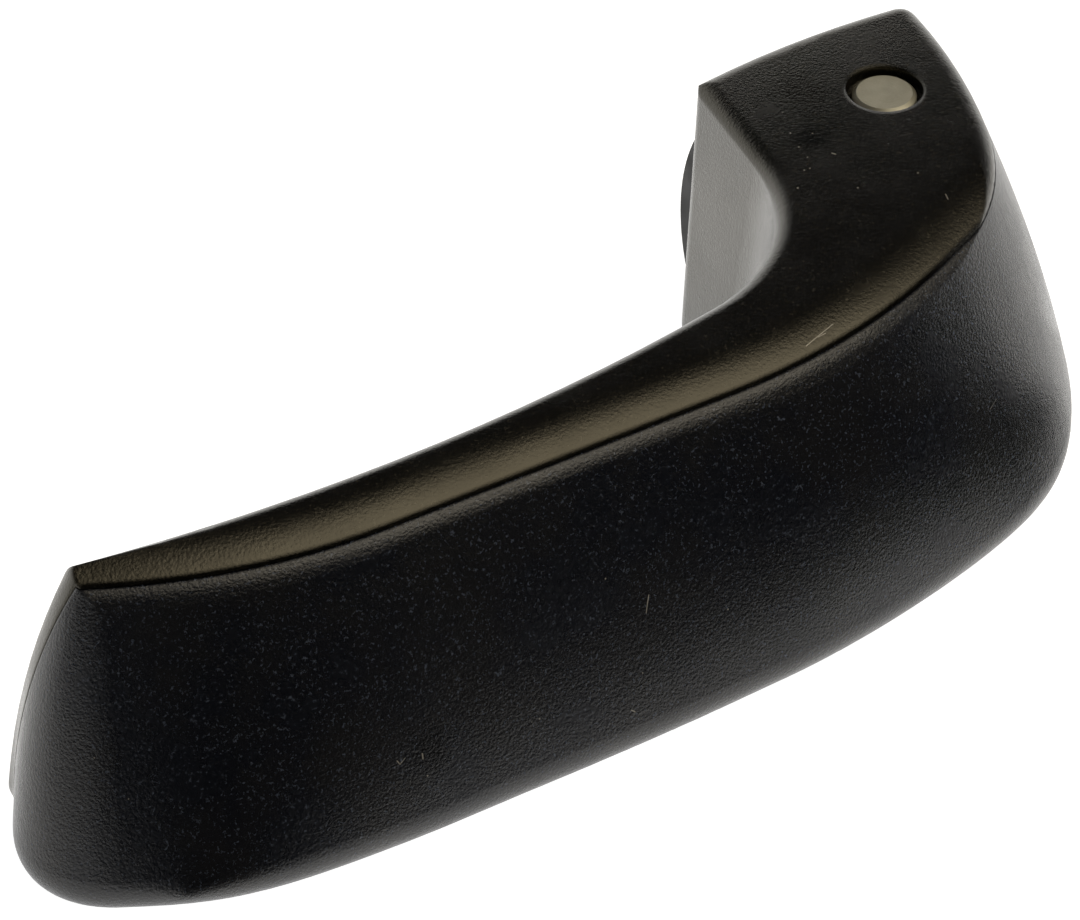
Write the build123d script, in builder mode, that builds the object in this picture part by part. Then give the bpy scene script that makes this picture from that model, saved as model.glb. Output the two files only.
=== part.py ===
"""Car interior door handle: a moulded pull lever with front cover, pivot pin, return spring and bumper.

Millimetres. The origin is on the pivot axis at half the lever's height, +Z runs up along the pin,
+X runs from the free end of the grip to the pivot end, and -Y faces the passenger.
"""

import os
from math import cos, radians, sin, sqrt, tan

from build123d import *

os.makedirs("parts", exist_ok=True)

# Heights of the lever
lever_height = 29.0
joint_drop = 1.35
half_height = lever_height / 2
joint_z = half_height - joint_drop

# Outer edge of the lever seen from above: free end, bowed grip, straight grip, shoulder, bend and pivot end
pivot_end_x = 10.44
pivot_end_y = 19.27
tip_heading = -27.7
tip_radius = 3.0
bow_radius = 56.5
bow_turn = 26.1
straight_length = 34.4
shoulder_radius = 63.3
shoulder_turn = 25.2
bend_radius = 27.8
bend_turn = 43.2
end_radius = 62.0
end_turn = 22.8
tail_length = 4.0

# Spread of the outer face beyond that edge at the top, the same all along
spread_top = -0.02 * lever_height

# Inner side: arm, hollow corner and the long face that the fingers pull
back_y = 11.7
back_radius = 86.0
back_peak_x = -2.5
back_width = 46.0
back_margin = 5.0
back_round = 1.3
back_foot_round = 4.0
arm_left_x = -13.7
arm_draft = 8.6
arm_length = 13.6
hollow_radius = 18.8
hollow_turn = 72.2
finger_radius = 195.0
finger_turn = 26.0
finger_lean = -3.2
arm_lean = 1.65

# Edges
skin_depth = 2.6
core_overlap = 0.3
top_round = 1.8
bottom_round = 3.2
foot_round = 1.1
foot_sweep = 90.0
finger_round = 2.0
finger_sweep = 78.0
finger_width = 0.9 * finger_round
corner_round = 2.0
edge_ease = 0.02
roll_radius = 10.0
roll_turn = 32.0
roll_width = 5.55
brow_radius = 2.6
brow_turn = 25.0
brow_reach = 6.0
roll_lead = 14.0
roll_runout = 30.0

# Front cover
cover_wall = 2.0
cover_gap = 0.12
tip_wall = 2.2

# Pivot
pin_radius = 3.0
pin_clearance = 0.05
pin_recess = 0.4
pin_chamfer = 0.4
mouth_radius = 3.6
mouth_depth = 1.4

# Pocket in the arm, open at the back
pocket_left = -10.8
pocket_right = 5.6
pocket_height = 19.0
pocket_depth = 18.6
pocket_round = 2.0

# Hollow cells behind the front cover
finger_wall = 2.4
cell_top = 10.4
cell_bottom = -12.0
cell_length = 14.5
rib_wall = 2.0
cell_count = 4
first_cell_x = -88.0
shoulder_cell_length = 20.0
shoulder_cell_back = -11.5

# Crank tongue with the eye for the latch rod
tongue_x = 1.5
tongue_reach = 17.0
tongue_radius = 5.0
tongue_thickness = 5.0
eye_radius = 2.5

# Stop bumper
bumper_length = 18.0
bumper_width = 2.2
bumper_crown = 2.1
bumper_x = -12.3
bumper_z = -2.0
stem_length = 14.0
stem_width = 1.4
stem_depth = 2.5

# Return spring
wire_radius = 0.6
coil_radius = 4.3
coil_pitch = 1.3
coil_turns = 4.9
coil_base = -7.7
moving_leg = 11.0
fixed_leg = 15.0


def arc_reach(heading, radius, turn):
    """Way from the start of an arc to its end, seen from above."""
    first = radians(heading)
    last = radians(heading + turn)
    return Vector(radius * (sin(last) - sin(first)), radius * (cos(first) - cos(last)))


# Headings at the joints of the outer edge, and the place where the bowed grip starts
straight_heading = tip_heading + bow_turn
bend_heading = straight_heading + shoulder_turn
end_heading = bend_heading + bend_turn
tail_heading = end_heading + end_turn
grip_start = Vector(pivot_end_x, pivot_end_y)
grip_start -= arc_reach(tip_heading, bow_radius, bow_turn)
grip_start -= Vector(straight_length, 0).rotate(Axis.Z, straight_heading)
grip_start -= arc_reach(straight_heading, shoulder_radius, shoulder_turn)
grip_start -= arc_reach(bend_heading, bend_radius, bend_turn)
grip_start -= arc_reach(end_heading, end_radius, end_turn)
grip_start -= Vector(tail_length, 0).rotate(Axis.Z, tail_heading)
tip_center = grip_start + Vector(tip_radius, 0).rotate(Axis.Z, tip_heading + 90)

# Seat of the bumper's head on the bowed back of the arm
bumper_reach = bumper_x + bumper_width / 2 - back_peak_x
bumper_y = back_y - back_radius + sqrt(back_radius**2 - bumper_reach**2)

# Outer edge as one path from the free end round to the pivot end
with BuildLine() as outer_edge:
    tip = CenterArc(tip_center, tip_radius, 90, 180 + tip_heading)
    bow = JernArc(tip @ 1, tip % 1, bow_radius, bow_turn)
    straight = Line(bow @ 1, bow @ 1 + straight_length * (bow % 1))
    shoulder = JernArc(straight @ 1, straight % 1, shoulder_radius, shoulder_turn)
    bend = JernArc(shoulder @ 1, shoulder % 1, bend_radius, bend_turn)
    end = JernArc(bend @ 1, bend % 1, end_radius, end_turn)
    tail = Line(end @ 1, end @ 1 + tail_length * (end % 1))

# Places along that edge, with the spread of the outer face there in the middle and at the bottom, as
# shares of the lever's height
stations = (
    (tip, 0, 0.117, 0.152),
    (tip, 0.37, 0.155, 0.224),
    (tip, 0.7, 0.200, 0.331),
    (tip, 0.88, 0.226, 0.422),
    (tip, 1, 0.229, 0.438),
    (bow, 0.06, 0.229, 0.443),
    (bow, 0.15, 0.230, 0.451),
    (bow, 0.4, 0.228, 0.447),
    (bow, 0.7, 0.217, 0.405),
    (bow, 1, 0.210, 0.388),
    (straight, 0.5, 0.207, 0.381),
    (straight, 1, 0.203, 0.345),
    (shoulder, 0.5, 0.200, 0.324),
    (shoulder, 1, 0.193, 0.364),
    (bend, 0.5, 0.183, 0.328),
    (bend, 1, 0.162, 0.290),
    (end, 0.5, 0.159, 0.283),
    (end, 1, 0.159, 0.283),
    (tail, 1, 0.159, 0.283),
)


def section_plane(edge, position):
    """Upright plane across the outer edge, its first axis pointing outwards."""
    heading = edge % position
    return Plane(edge @ position, x_dir=heading.cross(Vector(0, 0, 1)), z_dir=-1 * heading)


def leaning_face(middle, bottom, shift):
    """Arc of the outer face in its upright section, shifted inwards: it leans out from top to bottom."""
    foot = (bottom * lever_height - shift, -half_height)
    waist = (middle * lever_height - shift, 0)
    return ThreePointArc(foot, waist, (spread_top - shift, half_height))


def skin_section(edge, position, middle, bottom):
    """Upright section of the outer face, with its rounded top and bottom edges."""
    with BuildSketch(section_plane(edge, position)) as section:
        with BuildLine():
            lean = leaning_face(middle, bottom, 0)
            Polyline(lean @ 1, (-skin_depth, half_height), (-skin_depth, -half_height), lean @ 0)
        make_face()
        fillet(section.vertices().sort_by_distance((bottom * lever_height, -half_height))[0], bottom_round)
        fillet(section.vertices().sort_by_distance((spread_top, half_height))[0], top_round)
    return section.sketch


def front_section(edge, position, middle, bottom, wall, top):
    """Upright section of all that lies in front of a wall behind the outer face, up to a level top."""
    with BuildSketch(section_plane(edge, position)) as section:
        with BuildLine():
            lean = leaning_face(middle, bottom, wall)
            under = -half_height - foot_round
            corner = ((lean @ 0).X, under)
            Polyline(lean @ 1, (lever_height, half_height), (lever_height, under), corner, lean @ 0)
        make_face()
        with Locations((0, top)):
            Rectangle(3 * lever_height, lever_height, align=(Align.CENTER, Align.MIN), mode=Mode.SUBTRACT)
    return section.sketch


def finger_outline(share, inset):
    """Arm, hollow and finger lines at a share of the way down, moved into the lever by the inset."""
    side = Vector(inset, 0).rotate(Axis.Z, -arm_draft)
    slope = tan(radians(arm_draft))
    near_y = back_y - arm_length - share * finger_lean
    near_x = arm_left_x - share * arm_lean - (back_y - near_y) * slope
    far_y = back_y + back_width
    far_x = near_x + (far_y - near_y) * slope
    with BuildLine() as outline:
        arm = Line(Vector(far_x, far_y) + side, Vector(near_x, near_y) + side)
        hollow = JernArc(arm @ 1, arm % 1, hollow_radius + inset, -hollow_turn)
        JernArc(hollow @ 1, hollow % 1, finger_radius + inset, -finger_turn)
    return outline.wire()


def finger_space(inset):
    """The open space behind the grip and beside the arm, grown into the lever by the inset."""
    sections = []
    for level, share in ((-1.1, 1.05), (1.1, -0.05)):
        with BuildSketch(Plane.XY.offset(level * half_height)) as outline:
            with BuildLine():
                edge = finger_outline(share, inset)
                add(edge)
                Polyline(edge @ 1, ((edge @ 1).X, (edge @ 0).Y), edge @ 0)
            make_face()
        sections.append(outline.sketch)
    with BuildPart() as space:
        loft(sections, ruled=True)
    return space.part


def edge_cut(share, side, radius, turn, width):
    """Cutter that rounds the top (side 1) or bottom (side -1) edge of the finger side."""
    edge = finger_outline(share, 0).moved(Location((0, 0, side * half_height)))
    across = Vector(0, 0, 1).cross(edge % 0)
    with BuildPart() as cut:
        with BuildSketch(Plane(edge @ 0, x_dir=across, z_dir=side * (edge % 0))):
            with BuildLine():
                soft = JernArc((width, edge_ease), (-1, 0), radius, turn)
                leave = Line(soft @ 1, soft @ 1 + radius * (soft % 1))
                Polyline(leave @ 1, ((leave @ 1).X - radius, radius), (width, radius), soft @ 0)
            make_face()
        sweep(path=edge)
    return cut.part


def space_behind(disc):
    """Everything behind the back of the arm, which is the rim of a disc."""
    with BuildPart() as space:
        with Locations((back_peak_x, back_y - back_margin, 0)):
            Box(back_width, back_width, 2 * lever_height, align=(Align.CENTER, Align.MIN, Align.CENTER))
        add(disc, mode=Mode.SUBTRACT)
    return space.part


# Rolled top edge of the grip, which runs out at the bend
with BuildLine() as roll_edge:
    lead = Line(bow @ 0 - roll_lead * (bow % 0), bow @ 0)
    add([bow, straight, shoulder])
    runout = Line(shoulder @ 1, shoulder @ 1 + roll_runout * (shoulder % 1))

with BuildPart() as roll_cut:
    with BuildSketch(section_plane(lead, 0)) as roll_section:
        with BuildLine():
            roll = JernArc((-roll_width, half_height), (1, 0), roll_radius, -roll_turn)
            brow = JernArc(roll @ 1, roll % 1, brow_radius, -brow_turn)
            fall = Line(brow @ 1, brow @ 1 + brow_reach * (brow % 1))
            above = half_height + roll_radius
            Polyline(fall @ 1, ((fall @ 1).X, above), (-roll_width, above), roll @ 0)
        make_face()
    sweep(path=roll_edge.wire())

# Soft edges of the finger side
top_cut = edge_cut(0, 1, finger_round, finger_sweep, finger_width)
foot_cut = edge_cut(1, -1, foot_round, foot_sweep, foot_round)

# Back of the arm: the rim of a wide disc, slightly bowed in plan, first plain and then rounded at its edges
with BuildPart() as plain_disc:
    with Locations((back_peak_x, back_y - back_radius, 0)):
        Cylinder(back_radius, lever_height + 2 * edge_ease)

with BuildPart() as rounded_disc:
    add(plain_disc.part)
    fillet(rounded_disc.edges().sort_by(Axis.Z)[-1], back_round)
    fillet(rounded_disc.edges().sort_by(Axis.Z)[0], back_foot_round)

# Finger space at the finger side, at the cover's seat, at the cover's rim and at the hollow cells
finger_gap = finger_space(0)
seat_limit = finger_space(tip_wall)
cover_limit = finger_space(tip_wall + cover_gap)
cell_limit = finger_space(finger_wall)

# Outer form that the lever body and the front cover share
skin_sections = [skin_section(*station) for station in stations]

with BuildPart() as outer_form:
    sweep(sections=skin_sections, path=outer_edge.wire(), multisection=True)
    with BuildSketch(Plane.XY.offset(-half_height)) as core_section:
        with BuildLine():
            core = offset(outer_edge.line, core_overlap - skin_depth, side=Side.LEFT, closed=False)
            Polyline(core @ 1, ((core @ 0).X, (core @ 1).Y), core @ 0)
        make_face()
    extrude(amount=lever_height)
    add(finger_gap, mode=Mode.SUBTRACT)
    add(space_behind(plain_disc.part), mode=Mode.SUBTRACT)
    back_edges = outer_form.edges().filter_by(lambda edge: (edge @ 0.5).Y > back_y - back_margin)
    fillet(back_edges.filter_by(GeomType.BSPLINE), corner_round)
    add(space_behind(rounded_disc.part), mode=Mode.SUBTRACT)
    add(top_cut, mode=Mode.SUBTRACT)
    add(foot_cut, mode=Mode.SUBTRACT)
    add(roll_cut.part, mode=Mode.SUBTRACT)

# Front cover
cover_sections = [front_section(*station, cover_wall, joint_z - cover_gap) for station in stations]

with BuildPart() as front_cover:
    sweep(sections=cover_sections, path=outer_edge.wire(), multisection=True)
    add(cover_limit, mode=Mode.SUBTRACT)
    add(outer_form.part, mode=Mode.INTERSECT)

front_cover.part.label = "front_cover"
export_step(front_cover.part, "parts/front_cover.step")

# Seat of the front cover in the lever body
seat_sections = [front_section(*station, cover_wall + cover_gap, joint_z) for station in stations]

with BuildPart() as cover_seat:
    sweep(sections=seat_sections, path=outer_edge.wire(), multisection=True)
    add(seat_limit, mode=Mode.SUBTRACT)

# Hollow cells of the grip and the shoulder, open to the front
with BuildPart() as cells:
    cell_height = cell_top - cell_bottom
    for index in range(cell_count):
        with Locations((first_cell_x + index * (cell_length + rib_wall), 0, cell_bottom)):
            Box(cell_length, bow_radius, cell_height, align=(Align.MIN, Align.MAX, Align.MIN))
    with Locations((first_cell_x + cell_count * (cell_length + rib_wall), shoulder_cell_back, cell_bottom)):
        Box(shoulder_cell_length, bow_radius, cell_height, align=(Align.MIN, Align.MAX, Align.MIN))
    add(cell_limit, mode=Mode.SUBTRACT)

# Lever body
with BuildPart() as lever_body:
    add(outer_form.part)
    add(cover_seat.part, mode=Mode.SUBTRACT)
    add(cells.part, mode=Mode.SUBTRACT)
    with BuildSketch(Plane.XZ.offset(-back_y)) as pocket_section:
        with Locations(((pocket_left + pocket_right) / 2, 0)):
            RectangleRounded(pocket_right - pocket_left, pocket_height, pocket_round)
    extrude(amount=pocket_depth, mode=Mode.SUBTRACT)
    with BuildSketch(Plane.XY.offset(-half_height)) as tongue_section:
        with Locations((tongue_x, 0)):
            Rectangle(2 * tongue_radius, tongue_reach, align=(Align.CENTER, Align.MIN))
        with Locations((tongue_x, tongue_reach)):
            Circle(tongue_radius)
    extrude(amount=tongue_thickness)
    with Locations((tongue_x, tongue_reach, -half_height)):
        Cylinder(eye_radius, 4 * tongue_thickness, mode=Mode.SUBTRACT)
    Cylinder(pin_radius + pin_clearance, 2 * lever_height, mode=Mode.SUBTRACT)
    for end_z in (-half_height, half_height):
        with Locations((0, 0, end_z)):
            Cylinder(mouth_radius, 2 * mouth_depth, mode=Mode.SUBTRACT)
    with Locations((bumper_x, bumper_y, bumper_z)):
        Box(stem_width, 2 * stem_depth, stem_length, mode=Mode.SUBTRACT)

lever_body.part.label = "lever_body"
export_step(lever_body.part, "parts/lever_body.step")

# Pivot pin
with BuildPart() as pivot_pin:
    Cylinder(pin_radius, lever_height - 2 * pin_recess)
    chamfer(pivot_pin.edges().filter_by(GeomType.CIRCLE), pin_chamfer)

pivot_pin.part.label = "pivot_pin"
export_step(pivot_pin.part, "parts/pivot_pin.step")

# Stop bumper: a crowned pad with a stem pressed into the back of the arm
with BuildPart() as stop_bumper:
    seat = Plane((bumper_x, bumper_y, bumper_z), x_dir=(0, 1, 0), z_dir=(1, 0, 0))
    with BuildSketch(seat) as crown_section:
        with BuildLine():
            crown = ThreePointArc((0, -bumper_length / 2), (bumper_crown, 0), (0, bumper_length / 2))
            Line(crown @ 1, crown @ 0)
        make_face()
    extrude(amount=bumper_width / 2, both=True)
    with Locations((bumper_x, bumper_y, bumper_z)):
        Box(stem_width, stem_depth, stem_length, align=(Align.CENTER, Align.MAX, Align.CENTER))

stop_bumper.part.label = "stop_bumper"
export_step(stop_bumper.part, "parts/stop_bumper.step")

# Return spring: close coils round the pin, a fixed leg out at the back and a moving leg on the left wall
with BuildLine(Plane.XY.offset(coil_base)) as wire_line:
    coil = Helix(coil_pitch, coil_pitch * coil_turns, coil_radius)
    Line(coil @ 0 - fixed_leg * (coil % 0), coil @ 0)
    Line(coil @ 1, coil @ 1 + moving_leg * (coil % 1))

wire_path = wire_line.wire().rotate(Axis.Z, 180)

with BuildPart() as return_spring:
    with BuildSketch(Plane(wire_path @ 0, z_dir=wire_path % 0)) as wire_section:
        Circle(wire_radius)
    sweep(path=wire_path, is_frenet=True)

return_spring.part.label = "return_spring"
export_step(return_spring.part, "parts/return_spring.step")
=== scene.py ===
"""Car interior door handle: finishes, return spring, stage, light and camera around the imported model."""

import math

import bmesh
import bpy
from mathutils import Matrix, Vector


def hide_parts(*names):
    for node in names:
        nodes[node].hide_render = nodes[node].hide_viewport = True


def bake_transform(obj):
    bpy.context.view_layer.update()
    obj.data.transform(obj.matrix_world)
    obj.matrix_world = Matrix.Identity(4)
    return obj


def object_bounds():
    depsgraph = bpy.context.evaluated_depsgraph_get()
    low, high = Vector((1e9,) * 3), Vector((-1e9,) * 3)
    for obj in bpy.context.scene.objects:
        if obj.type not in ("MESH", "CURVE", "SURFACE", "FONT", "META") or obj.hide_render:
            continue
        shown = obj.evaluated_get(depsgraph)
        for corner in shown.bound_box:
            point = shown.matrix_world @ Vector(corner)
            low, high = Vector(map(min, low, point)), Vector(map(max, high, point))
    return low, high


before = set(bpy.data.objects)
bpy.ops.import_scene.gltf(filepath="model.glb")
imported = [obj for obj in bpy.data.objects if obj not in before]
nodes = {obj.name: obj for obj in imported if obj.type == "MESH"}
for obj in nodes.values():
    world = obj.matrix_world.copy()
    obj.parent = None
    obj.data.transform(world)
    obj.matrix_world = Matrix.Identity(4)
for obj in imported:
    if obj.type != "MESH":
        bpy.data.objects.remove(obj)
cad_low, cad_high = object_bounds()

MM = 0.001

# Camera at the photo's angle, its lens for an image of 1080 by 920
CAMERA_AZIMUTH = -33.0
CAMERA_ELEVATION = 39.5
CAMERA_PLACE = Vector((-286.76, -383.28, 363.87)) * MM
CAMERA_SENSOR = 36.0
CAMERA_LENS = 213.76

# Stage and light
FLOOR_RADIUS = 3.0
FLOOR_COLOUR = (0.5, 0.5, 0.5, 1.0)
FLOOR_GLOW = 1.05
SOFTBOX_SIZE = 0.85
SOFTBOX_PLACE = Vector((0.34, -0.26, 0.8))
SOFTBOX_POWER = 6.3
SOFTBOX_COLOUR = (1.0, 0.9, 0.72)
ROOM_COLOUR = (0.02, 0.022, 0.026, 1.0)

# Cards that only reflections show: a dark flag in front, and a white wall and sheet behind
CARD_LIFT = 0.5 * MM
FLAG_COLOUR = (0.01, 0.011, 0.014, 1.0)
FLAG_CENTRE = Vector((-45.0, 8.0, 0.0)) * MM
FLAG_FOOT = 66.0 * MM
FLAG_BEND = 115.0 * MM
FLAG_RADIUS = 230.0 * MM
FLAG_HEIGHT = 165.0 * MM
FLAG_FROM = -50.5
FLAG_TO = 65.0
WALL_Y = 36.0 * MM
WALL_LEFT = -190.0 * MM
WALL_RIGHT = 130.0 * MM
WALL_TOP = 33.0 * MM
WALL_GLOW = 1.4
SHEET_Y = -10.0 * MM
SHEET_LEFT = -100.0 * MM
SHEET_RIGHT = 25.0 * MM
SHEET_GLOW = 1.42

# Return spring, with the sizes of its CAD solid
WIRE_RADIUS = 0.6 * MM
COIL_RADIUS = 4.3 * MM
COIL_PITCH = 1.3 * MM
COIL_TURNS = 4.9
COIL_BASE = -7.7 * MM
MOVING_LEG = 11.0 * MM
FIXED_LEG = 15.0 * MM
WIRE_SIDES = 16
STEPS_PER_TURN = 48
LEG_STEPS = 6

# Moulded black: sizes of its patterns, its dust and the solid middle of a mark
MOTTLE_SIZE = 9.0 * MM
# Size of the painted glints, pale specks of painted highlight in the grain's colour
PAINTED_GLINT_SIZE = 0.34 * MM
DUST_SPACING = 2.6 * MM
DUST_SHARE = 0.2
DUST_SIZE = 0.09 * MM
DUST_STRENGTH = 0.5
DUST_COLOUR = (0.3, 0.29, 0.27, 1.0)
GREASE_STRENGTH = 0.85
GREASE_COLOUR = (0.001, 0.001, 0.001, 1.0)
GREASE_RAGGED = 0.9 * MM
MARK_CORE = 0.4


def make(tree, kind, inputs=None, **settings):
    """A shader node: an input given as a socket is linked, and any other value is set on it."""
    node = tree.nodes.new(kind)
    for name, value in settings.items():
        setattr(node, name, value)
    for key, value in (inputs or {}).items():
        if isinstance(value, bpy.types.NodeSocket):
            tree.links.new(value, node.inputs[key])
        else:
            node.inputs[key].default_value = value
    return node


def new_finish(name):
    """An empty node material with its shader, and the place on the piece that its patterns read."""
    finish = bpy.data.materials.new(name)
    finish.use_nodes = True
    tree = finish.node_tree
    shader = tree.nodes["Principled BSDF"]
    place = make(tree, "ShaderNodeTexCoord").outputs["Object"]
    return finish, tree, shader, place


def math_node(tree, operation, first, second=0.0, clamp=False):
    """Result of one sum on two values or sockets."""
    node = make(tree, "ShaderNodeMath", {0: first, 1: second}, operation=operation, use_clamp=clamp)
    return node.outputs[0]


def vector_node(tree, operation, first, second):
    """Node of one sum on two vectors or sockets."""
    return make(tree, "ShaderNodeVectorMath", {0: first, 1: second}, operation=operation)


def ranged(tree, value, low, high, to_low=0.0, to_high=1.0):
    """A value taken smoothly from one range to another."""
    node = make(
        tree,
        "ShaderNodeMapRange",
        {"Value": value, "From Min": low, "From Max": high, "To Min": to_low, "To Max": to_high},
        interpolation_type="SMOOTHSTEP",
    )
    return node.outputs["Result"]


def mixed(tree, share, first, second):
    """One colour going over into another by a share."""
    node = make(tree, "ShaderNodeMix", data_type="RGBA")
    for key, value in ((0, share), (6, first), (7, second)):
        if isinstance(value, bpy.types.NodeSocket):
            tree.links.new(value, node.inputs[key])
        else:
            node.inputs[key].default_value = value
    return node.outputs[2]


def noise(tree, place, size, detail=2.0, roughness=0.5):
    """Cloudy pattern whose lumps are about size across."""
    node = make(
        tree,
        "ShaderNodeTexNoise",
        {"Vector": place, "Scale": 1.0 / size, "Detail": detail, "Roughness": roughness},
    )
    return node.outputs["Fac"]


def pebbles(tree, place, size):
    """Rounded pebbles of a moulding's etched grain, about size across."""
    return make(tree, "ShaderNodeTexVoronoi", {"Vector": place, "Scale": 1.0 / size}).outputs["Distance"]


def worn_edges(tree, rounded):
    """Share of wear: none on a flat, most on an edge or corner."""
    flat = make(tree, "ShaderNodeNewGeometry").outputs["Normal"]
    along = vector_node(tree, "DOT_PRODUCT", rounded, flat).outputs["Value"]
    return ranged(tree, along, 0.995, 0.85)


def dust(tree, place, spacing, share, size):
    """Pale specks of dust, a few of the cells of a scattered pattern holding one."""
    cells = make(tree, "ShaderNodeTexVoronoi", {"Vector": place, "Scale": 1.0 / spacing})
    chosen = make(tree, "ShaderNodeSeparateColor", {"Color": cells.outputs["Color"]})
    present = math_node(tree, "LESS_THAN", chosen.outputs["Red"], share)
    spread = math_node(tree, "MULTIPLY", chosen.outputs["Green"], size / spacing)
    near = math_node(tree, "LESS_THAN", cells.outputs["Distance"], spread)
    return math_node(tree, "MULTIPLY", present, near)


def stroke(tree, place, start, end, width):
    """Share of a fine mark drawn from one place to another."""
    along = (end - start) * MM
    offset = vector_node(tree, "SUBTRACT", place, start * MM).outputs["Vector"]
    part_way = vector_node(tree, "DOT_PRODUCT", offset, along / along.length_squared).outputs["Value"]
    share = math_node(tree, "MULTIPLY", part_way, 1.0, clamp=True)
    nearest = make(tree, "ShaderNodeVectorMath", {0: along, "Scale": share}, operation="SCALE")
    gap = vector_node(tree, "DISTANCE", offset, nearest.outputs["Vector"]).outputs["Value"]
    return ranged(tree, gap, width, MARK_CORE * width)


def speck(tree, place, middle, width):
    """Share of a round speck."""
    gap = vector_node(tree, "DISTANCE", place, middle * MM).outputs["Value"]
    return ranged(tree, gap, width, MARK_CORE * width)


def marks(tree, place, strokes):
    """Share of all the hairs, scratches and specks of a piece."""
    total = 0.0
    for start, end, width in strokes:
        start, end = Vector(start), Vector(end)
        if (end - start).length < SPECK_LENGTH:
            mark = speck(tree, place, (start + end) / 2, width * MM)
        else:
            mark = stroke(tree, place, start, end, width * MM)
        total = math_node(tree, "MAXIMUM", mark, total)
    return total


def smudge(tree, place, centre, radius):
    """Share of a dark greasy patch with a ragged border."""
    gap = vector_node(tree, "DISTANCE", place, Vector(centre) * MM).outputs["Value"]
    ragged = math_node(tree, "MULTIPLY", noise(tree, place, GREASE_RAGGED, detail=3.0), radius * MM)
    return ranged(tree, math_node(tree, "ADD", gap, ragged), 1.6 * radius * MM, 0.4 * radius * MM)


def moulded_black(
    name, colour, worn_colour, painted_glint_colour, tint, roughness, grain, depth, soft, strokes, patch
):
    """Satin black plastic: etched grain, painted glints (pale specks of painted highlight in the base
    colour), rubbed edges, mottling, dust, marks and a smudge.
    """
    finish, tree, shader, place = new_finish(name)
    etched = pebbles(tree, place, grain)
    fine = noise(tree, place, grain * 0.5, detail=3.0, roughness=0.65)
    mottle = noise(tree, place, MOTTLE_SIZE, detail=4.0, roughness=0.6)
    greasy = math_node(tree, "MULTIPLY", smudge(tree, place, *patch), GREASE_STRENGTH)
    height = math_node(tree, "ADD", math_node(tree, "MULTIPLY", etched, -0.65), fine)
    soft_edge = make(tree, "ShaderNodeBevel", {"Radius": soft}, samples=4).outputs["Normal"]
    relief = {"Height": height, "Distance": depth, "Strength": 1.0, "Normal": soft_edge}
    bump = make(tree, "ShaderNodeBump", relief)
    wear = math_node(tree, "MULTIPLY", worn_edges(tree, soft_edge), ranged(tree, mottle, 0.35, 0.65))
    # Painted glints: pale specks of painted highlight mixed into the base colour, standing in for the grain
    # catching the light
    painted_glints = ranged(tree, noise(tree, place, PAINTED_GLINT_SIZE, detail=3.0, roughness=0.7), 0.57, 0.7)
    specks = dust(tree, place, DUST_SPACING, DUST_SHARE, DUST_SIZE)
    specks = math_node(tree, "MULTIPLY", specks, DUST_STRENGTH)
    pale = math_node(tree, "MAXIMUM", specks, marks(tree, place, strokes))
    shade = mixed(tree, ranged(tree, mottle, 0.35, 0.65), colour, worn_colour)
    shade = mixed(tree, painted_glints, shade, painted_glint_colour)
    shade = mixed(tree, wear, shade, worn_colour)
    shade = mixed(tree, greasy, shade, GREASE_COLOUR)
    shade = mixed(tree, pale, shade, DUST_COLOUR)
    gloss = ranged(tree, mottle, 0.3, 0.7, roughness + 0.04, roughness - 0.04)
    gloss = math_node(tree, "SUBTRACT", gloss, math_node(tree, "MULTIPLY", wear, 0.06))
    gloss = math_node(tree, "SUBTRACT", gloss, math_node(tree, "MULTIPLY", greasy, 0.1))
    tree.links.new(shade, shader.inputs["Base Color"])
    tree.links.new(gloss, shader.inputs["Roughness"])
    tree.links.new(bump.outputs["Normal"], shader.inputs["Normal"])
    shader.inputs["IOR"].default_value = 1.5
    shader.inputs["Specular Tint"].default_value = tint
    return finish


def pin_plating():
    """Plated steel: faint turning rings on the ends, small pits and a faint stain."""
    finish, tree, shader, place = new_finish("pin_plating")
    rings = make(
        tree,
        "ShaderNodeTexWave",
        {"Vector": place, "Scale": 1.0 / (1.1 * MM), "Distortion": 1.5, "Detail": 2.0, "Detail Scale": 3.0},
        wave_type="RINGS",
        rings_direction="Z",
    )
    pits = noise(tree, place, 0.18 * MM, detail=4.0, roughness=0.7)
    stain = noise(tree, place, 1.8 * MM, detail=3.0)
    height = math_node(tree, "ADD", math_node(tree, "MULTIPLY", rings.outputs["Fac"], 0.35), pits)
    bump = make(tree, "ShaderNodeBump", {"Height": height, "Distance": 0.012 * MM, "Strength": 1.0})
    shade = mixed(tree, ranged(tree, stain, 0.3, 0.7), (0.42, 0.4, 0.325, 1.0), (0.48, 0.46, 0.375, 1.0))
    tree.links.new(shade, shader.inputs["Base Color"])
    tree.links.new(ranged(tree, pits, 0.3, 0.7, 0.5, 0.6), shader.inputs["Roughness"])
    tree.links.new(bump.outputs["Normal"], shader.inputs["Normal"])
    shader.inputs["Metallic"].default_value = 1.0
    return finish


def spring_wire_finish():
    """Drawn spring steel, dark grey with a thin film of oil."""
    finish, tree, shader, place = new_finish("spring_wire")
    drawn = noise(tree, place, 0.25 * MM, detail=4.0, roughness=0.7)
    film = noise(tree, place, 2.2 * MM, detail=3.0)
    bump = make(tree, "ShaderNodeBump", {"Height": drawn, "Distance": 0.01 * MM, "Strength": 1.0})
    shade = mixed(tree, ranged(tree, film, 0.35, 0.65), (0.23, 0.22, 0.2, 1.0), (0.42, 0.41, 0.39, 1.0))
    tree.links.new(shade, shader.inputs["Base Color"])
    tree.links.new(ranged(tree, film, 0.3, 0.7, 0.28, 0.42), shader.inputs["Roughness"])
    tree.links.new(bump.outputs["Normal"], shader.inputs["Normal"])
    shader.inputs["Metallic"].default_value = 1.0
    return finish


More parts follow.
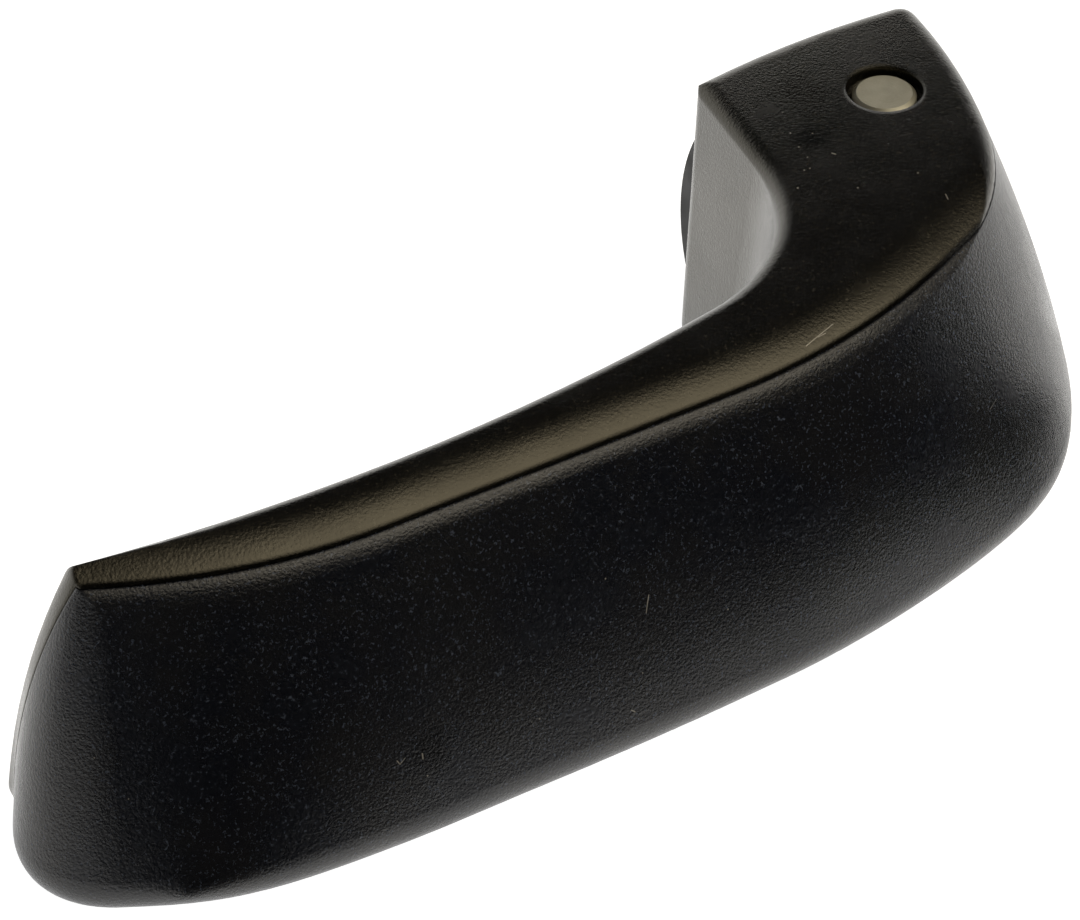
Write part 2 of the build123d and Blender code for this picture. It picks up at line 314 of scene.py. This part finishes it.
def bumper_rubber():
    """Matt black rubber with a fine moulded skin and a bloom of dust."""
    finish, tree, shader, place = new_finish("bumper_rubber")
    skin = noise(tree, place, 0.2 * MM, detail=5.0, roughness=0.7)
    bloom = noise(tree, place, 2.5 * MM, detail=4.0)
    soft_edge = make(tree, "ShaderNodeBevel", {"Radius": 0.15 * MM}, samples=6).outputs["Normal"]
    relief = {"Height": skin, "Distance": 0.02 * MM, "Strength": 1.0, "Normal": soft_edge}
    bump = make(tree, "ShaderNodeBump", relief)
    shade = mixed(tree, ranged(tree, bloom, 0.4, 0.7), (0.012, 0.012, 0.012, 1.0), (0.035, 0.034, 0.032, 1.0))
    tree.links.new(shade, shader.inputs["Base Color"])
    tree.links.new(ranged(tree, bloom, 0.3, 0.7, 0.62, 0.78), shader.inputs["Roughness"])
    tree.links.new(bump.outputs["Normal"], shader.inputs["Normal"])
    return finish


def dress(node, finish):
    """Puts a finish on a CAD node."""
    node.data.materials.clear()
    node.data.materials.append(finish)


def return_spring():
    """Coil spun up round the pin from a ring of wire, with a straight leg drawn out of each end."""
    climb = COIL_PITCH / (2.0 * math.pi * COIL_RADIUS)
    start = Vector((-COIL_RADIUS, 0.0, COIL_BASE))
    heading = Vector((0.0, -1.0, climb)).normalized()
    mesh = bmesh.new()
    ring = bmesh.ops.create_circle(mesh, cap_ends=False, segments=WIRE_SIDES, radius=WIRE_RADIUS)["verts"]
    bmesh.ops.rotate(mesh, verts=ring, matrix=heading.to_track_quat("Z", "Y").to_matrix())
    bmesh.ops.translate(mesh, verts=ring, vec=start)
    first = list(mesh.edges)
    steps = round(COIL_TURNS * STEPS_PER_TURN)
    last = bmesh.ops.spin(
        mesh,
        geom=ring + first,
        cent=(0.0, 0.0, 0.0),
        axis=(0.0, 0.0, 1.0),
        dvec=(0.0, 0.0, COIL_PITCH * COIL_TURNS / steps),
        angle=2.0 * math.pi * COIL_TURNS,
        steps=steps,
        use_merge=False,
        use_normal_flip=False,
        use_duplicate=False,
    )["geom_last"]
    turned = Matrix.Rotation(2.0 * math.pi * COIL_TURNS, 3, "Z") @ heading
    final = [e for e in last if isinstance(e, bmesh.types.BMEdge)]
    for loop, reach in ((first, -heading * FIXED_LEG), (final, turned * MOVING_LEG)):
        for _ in range(LEG_STEPS):
            drawn = bmesh.ops.extrude_edge_only(mesh, edges=loop)["geom"]
            loop = [e for e in drawn if isinstance(e, bmesh.types.BMEdge)]
            verts = [v for v in drawn if isinstance(v, bmesh.types.BMVert)]
            bmesh.ops.translate(mesh, verts=verts, vec=reach / LEG_STEPS)
            loop = [e for e in loop if all(v in verts for v in e.verts)]
        bmesh.ops.contextual_create(mesh, geom=loop)
    bmesh.ops.remove_doubles(mesh, verts=mesh.verts, dist=0.001 * MM)
    bmesh.ops.recalc_face_normals(mesh, faces=mesh.faces)
    for face in mesh.faces:
        face.smooth = len(face.verts) == 4
    return placed("return_spring_wire", mesh, spring_wire_finish())


def white(name):
    """Pale matt finish of the floor and the cards, that can also glow."""
    finish, tree, shader, place = new_finish(name)
    shader.inputs["Base Color"].default_value = FLOOR_COLOUR
    shader.inputs["Emission Color"].default_value = (1.0, 1.0, 1.0, 1.0)
    return finish, tree, shader, place


def placed(name, mesh, finish):
    """Object of a finished mesh, in the scene and with its finish."""
    data = bpy.data.meshes.new(name)
    mesh.to_mesh(data)
    mesh.free()
    data.materials.append(finish)
    piece = bpy.data.objects.new(name, data)
    bpy.context.scene.collection.objects.link(piece)
    return piece


def hide_card(card):
    """Keeps a card out of the picture, the shadows and the soft light, so only reflections show it."""
    card.visible_camera = False
    card.visible_shadow = False
    card.visible_diffuse = False


def floor():
    """Pale floor under the handle, white to the camera and keeping the shadow."""
    mesh = bmesh.new()
    bmesh.ops.create_circle(mesh, cap_ends=True, segments=96, radius=FLOOR_RADIUS)
    bmesh.ops.translate(mesh, verts=mesh.verts, vec=(0.0, 0.0, cad_low.z))
    finish, tree, shader, _ = white("floor_white")
    rays = make(tree, "ShaderNodeLightPath").outputs
    seen = math_node(tree, "ADD", rays["Is Camera Ray"], rays["Is Glossy Ray"], clamp=True)
    seen = math_node(tree, "ADD", seen, rays["Is Transmission Ray"], clamp=True)
    shader.inputs["Roughness"].default_value = 0.9
    shader.inputs["Specular IOR Level"].default_value = 0.0
    tree.links.new(math_node(tree, "MULTIPLY", seen, FLOOR_GLOW), shader.inputs["Emission Strength"])
    ground = placed("floor", mesh, finish)


def flag():
    """Dark card in front of the handle, lying and then leaning outwards, that keeps the front face black."""
    mesh = bmesh.new()
    bends = ((FLAG_FOOT, CARD_LIFT), (FLAG_BEND, CARD_LIFT), (FLAG_RADIUS, FLAG_HEIGHT))
    bends = [mesh.verts.new(FLAG_CENTRE + Vector((0.0, -reach, cad_low.z + rise))) for reach, rise in bends]
    profile = bends + [mesh.edges.new(bends[:2]), mesh.edges.new(bends[1:])]
    axis = (0.0, 0.0, 1.0)
    start = Matrix.Rotation(math.radians(FLAG_FROM), 3, "Z")
    bmesh.ops.rotate(mesh, verts=bends, cent=FLAG_CENTRE, matrix=start)
    sweep = math.radians(FLAG_TO - FLAG_FROM)
    bmesh.ops.spin(mesh, geom=profile, cent=FLAG_CENTRE, axis=axis, angle=sweep, steps=24)
    finish, _, shader, _ = new_finish("flag_black")
    shader.inputs["Base Color"].default_value = FLAG_COLOUR
    shader.inputs["Roughness"].default_value = 1.0
    card = placed("flag", mesh, finish)
    hide_card(card)


def wall():
    """White cards lying and standing behind the handle, that light its finger side and back."""
    mesh = bmesh.new()
    ground = cad_low.z + CARD_LIFT
    lying = ((SHEET_LEFT, SHEET_Y), (SHEET_RIGHT, SHEET_Y), (SHEET_RIGHT, WALL_Y), (SHEET_LEFT, WALL_Y))
    standing = ((WALL_LEFT, ground), (WALL_RIGHT, ground), (WALL_RIGHT, WALL_TOP), (WALL_LEFT, WALL_TOP))
    mesh.faces.new([mesh.verts.new((x, y, ground)) for x, y in lying])
    mesh.faces.new([mesh.verts.new((x, WALL_Y, z)) for x, z in standing])
    finish, tree, shader, place = white("wall_white")
    level = make(tree, "ShaderNodeSeparateXYZ", {"Vector": place}).outputs["Z"]
    glow = ranged(tree, level, ground + 1.0 * MM, ground + 4.0 * MM, SHEET_GLOW, WALL_GLOW)
    tree.links.new(glow, shader.inputs["Emission Strength"])
    card = placed("wall", mesh, finish)
    hide_card(card)


def light():
    """One large softbox above and to the right, and a dim room."""
    lamp = bpy.data.lights.new("softbox", "AREA")
    lamp.shape = "SQUARE"
    lamp.size = SOFTBOX_SIZE
    lamp.energy = SOFTBOX_POWER
    lamp.color = SOFTBOX_COLOUR
    softbox = bpy.data.objects.new("softbox", lamp)
    middle = (cad_low + cad_high) / 2
    softbox.location = middle + SOFTBOX_PLACE
    softbox.rotation_euler = SOFTBOX_PLACE.to_track_quat("Z", "Y").to_euler()
    bpy.context.scene.collection.objects.link(softbox)
    room = bpy.data.worlds.new("room")
    room.use_nodes = True
    room.node_tree.nodes["Background"].inputs["Color"].default_value = ROOM_COLOUR
    bpy.context.scene.world = room


def camera():
    """The photo's view."""
    azimuth = math.radians(CAMERA_AZIMUTH)
    elevation = math.radians(CAMERA_ELEVATION)
    lens = bpy.data.cameras.new("camera")
    lens.sensor_fit = "HORIZONTAL"
    lens.sensor_width = CAMERA_SENSOR
    lens.lens = CAMERA_LENS
    lens.clip_start = 0.01
    viewer = bpy.data.objects.new("camera", lens)
    viewer.location = CAMERA_PLACE
    viewer.rotation_euler = (math.pi / 2 - elevation, 0.0, azimuth)
    bpy.context.scene.collection.objects.link(viewer)
    bpy.context.scene.camera = viewer


camera()
floor()
flag()
wall()
light()

# Hairs, scratches and specks on the two mouldings: start, end and half width in millimetres.
# A mark shorter than the speck length is drawn round.
SPECK_LENGTH = 0.25
BODY_MARKS = (
    ((-11.24, -0.92, 14.5), (-11.14, -0.92, 14.5), 0.09),
    ((-9.58, -2.05, 14.5), (-9.48, -2.05, 14.5), 0.08),
    ((-11.81, -3.14, 14.5), (-11.71, -3.04, 14.5), 0.10),
    ((-12.04, -4.79, 14.5), (-11.94, -4.79, 14.5), 0.08),
    ((-9.77, -5.5, 14.5), (-9.59, -5.82, 14.5), 0.08),
    ((-13.41, -6.25, 14.5), (-13.31, -6.25, 14.5), 0.10),
    ((-12.81, -6.29, 14.5), (-12.71, -6.29, 14.5), 0.08),
    ((-15.43, -8.15, 14.5), (-15.33, -8.1, 14.5), 0.11),
    ((-10.86, -11.06, 14.5), (-10.76, -11.06, 14.5), 0.10),
    ((-5.01, -12.19, 14.5), (-4.91, -12.19, 14.5), 0.10),
    ((-4.71, -16.12, 14.44), (-4.91, -16.78, 14.38), 0.07),
    ((-27.26, -26.53, 13.68), (-23.64, -25.48, 13.9), 0.06),
    ((-25.7, -26.14, 13.76), (-24.78, -26.04, 13.75), 0.05),
)
COVER_MARKS = (
    ((-75.39, -35.33, -4.93), (-75.19, -35.48, -5.32), 0.06),
    ((-75.19, -35.48, -5.32), (-74.61, -35.37, -4.96), 0.06),
    ((-72.97, -35.57, -5.13), (-73.01, -35.71, -5.58), 0.08),
    ((-72.98, -36.27, -7.15), (-72.88, -36.27, -7.15), 0.10),
    ((-61.47, -36.19, -6.31), (-61.37, -36.16, -6.21), 0.11),
    ((-62.26, -36.15, -6.27), (-62.16, -36.15, -6.27), 0.08),
    ((-48.67, -34.02, 0.31), (-48.98, -34.28, -0.37), 0.06),
    ((-48.98, -34.28, -0.37), (-49.28, -34.52, -1.11), 0.06),
    ((-52.45, -32.79, 3.04), (-52.35, -32.79, 3.04), 0.10),
    ((-41.38, -35.59, -3.65), (-41.28, -35.59, -3.65), 0.10),
    ((-50.83, -36.3, -6.0), (-50.73, -36.3, -6.0), 0.08),
    ((-52.57, -37.23, -8.78), (-52.23, -37.35, -9.06), 0.07),
    ((-7.3, -28.46, 0.22), (-8.39, -29.06, -0.05), 0.06),
    ((-98.03, -28.69, -3.16), (-97.93, -28.69, -3.16), 0.09),
    ((-99.61, -25.98, 0.23), (-99.51, -25.98, 0.23), 0.09),
)
BODY_SMUDGE = ((-10.15, -2.54, 14.5), 2.5)
COVER_SMUDGE = ((-72.0, -35.6, -5.3), 2.6)

# Specular tints: the body's brown one is a painted warm sheen, the colour of the warm light above tinted into
# its reflections; the plain one leaves the cover's reflections untinted
PAINTED_WARM_SHEEN = (1.0, 0.93, 0.74, 1.0)
PLAIN_SHEEN = (1.0, 1.0, 1.0, 1.0)
# The body's faintly brown colours and warm glints are painted warm light, the tint of the lamp above on its
# top
warm_lit_body_black = moulded_black(
    "warm_lit_body_black",
    colour=(0.0008, 0.0007, 0.0006, 1.0),
    worn_colour=(0.002, 0.0018, 0.0014, 1.0),
    painted_glint_colour=(0.026, 0.023, 0.018, 1.0),
    tint=PAINTED_WARM_SHEEN,
    roughness=0.25,
    grain=0.32 * MM,
    depth=0.022 * MM,
    soft=0.6 * MM,
    strokes=BODY_MARKS,
    patch=BODY_SMUDGE,
)
# The cover's blue colours, worn colour and glints are painted cool shade, the tint of the shaded front away
# from the warm lamp
cover_black = moulded_black(
    "cover_black",
    colour=(0.0024, 0.0036, 0.008, 1.0),
    worn_colour=(0.0085, 0.009, 0.0112, 1.0),
    painted_glint_colour=(0.06, 0.074, 0.108, 1.0),
    tint=PLAIN_SHEEN,
    roughness=0.25,
    grain=0.3 * MM,
    depth=0.045 * MM,
    soft=0.35 * MM,
    strokes=COVER_MARKS,
    patch=COVER_SMUDGE,
)
dress(nodes["lever_body"], warm_lit_body_black)
dress(nodes["front_cover"], cover_black)
dress(nodes["pivot_pin"], pin_plating())
dress(nodes["stop_bumper"], bumper_rubber())

spring = return_spring()
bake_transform(spring)
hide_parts("return_spring")

bpy.context.scene.view_settings.view_transform = "Standard"
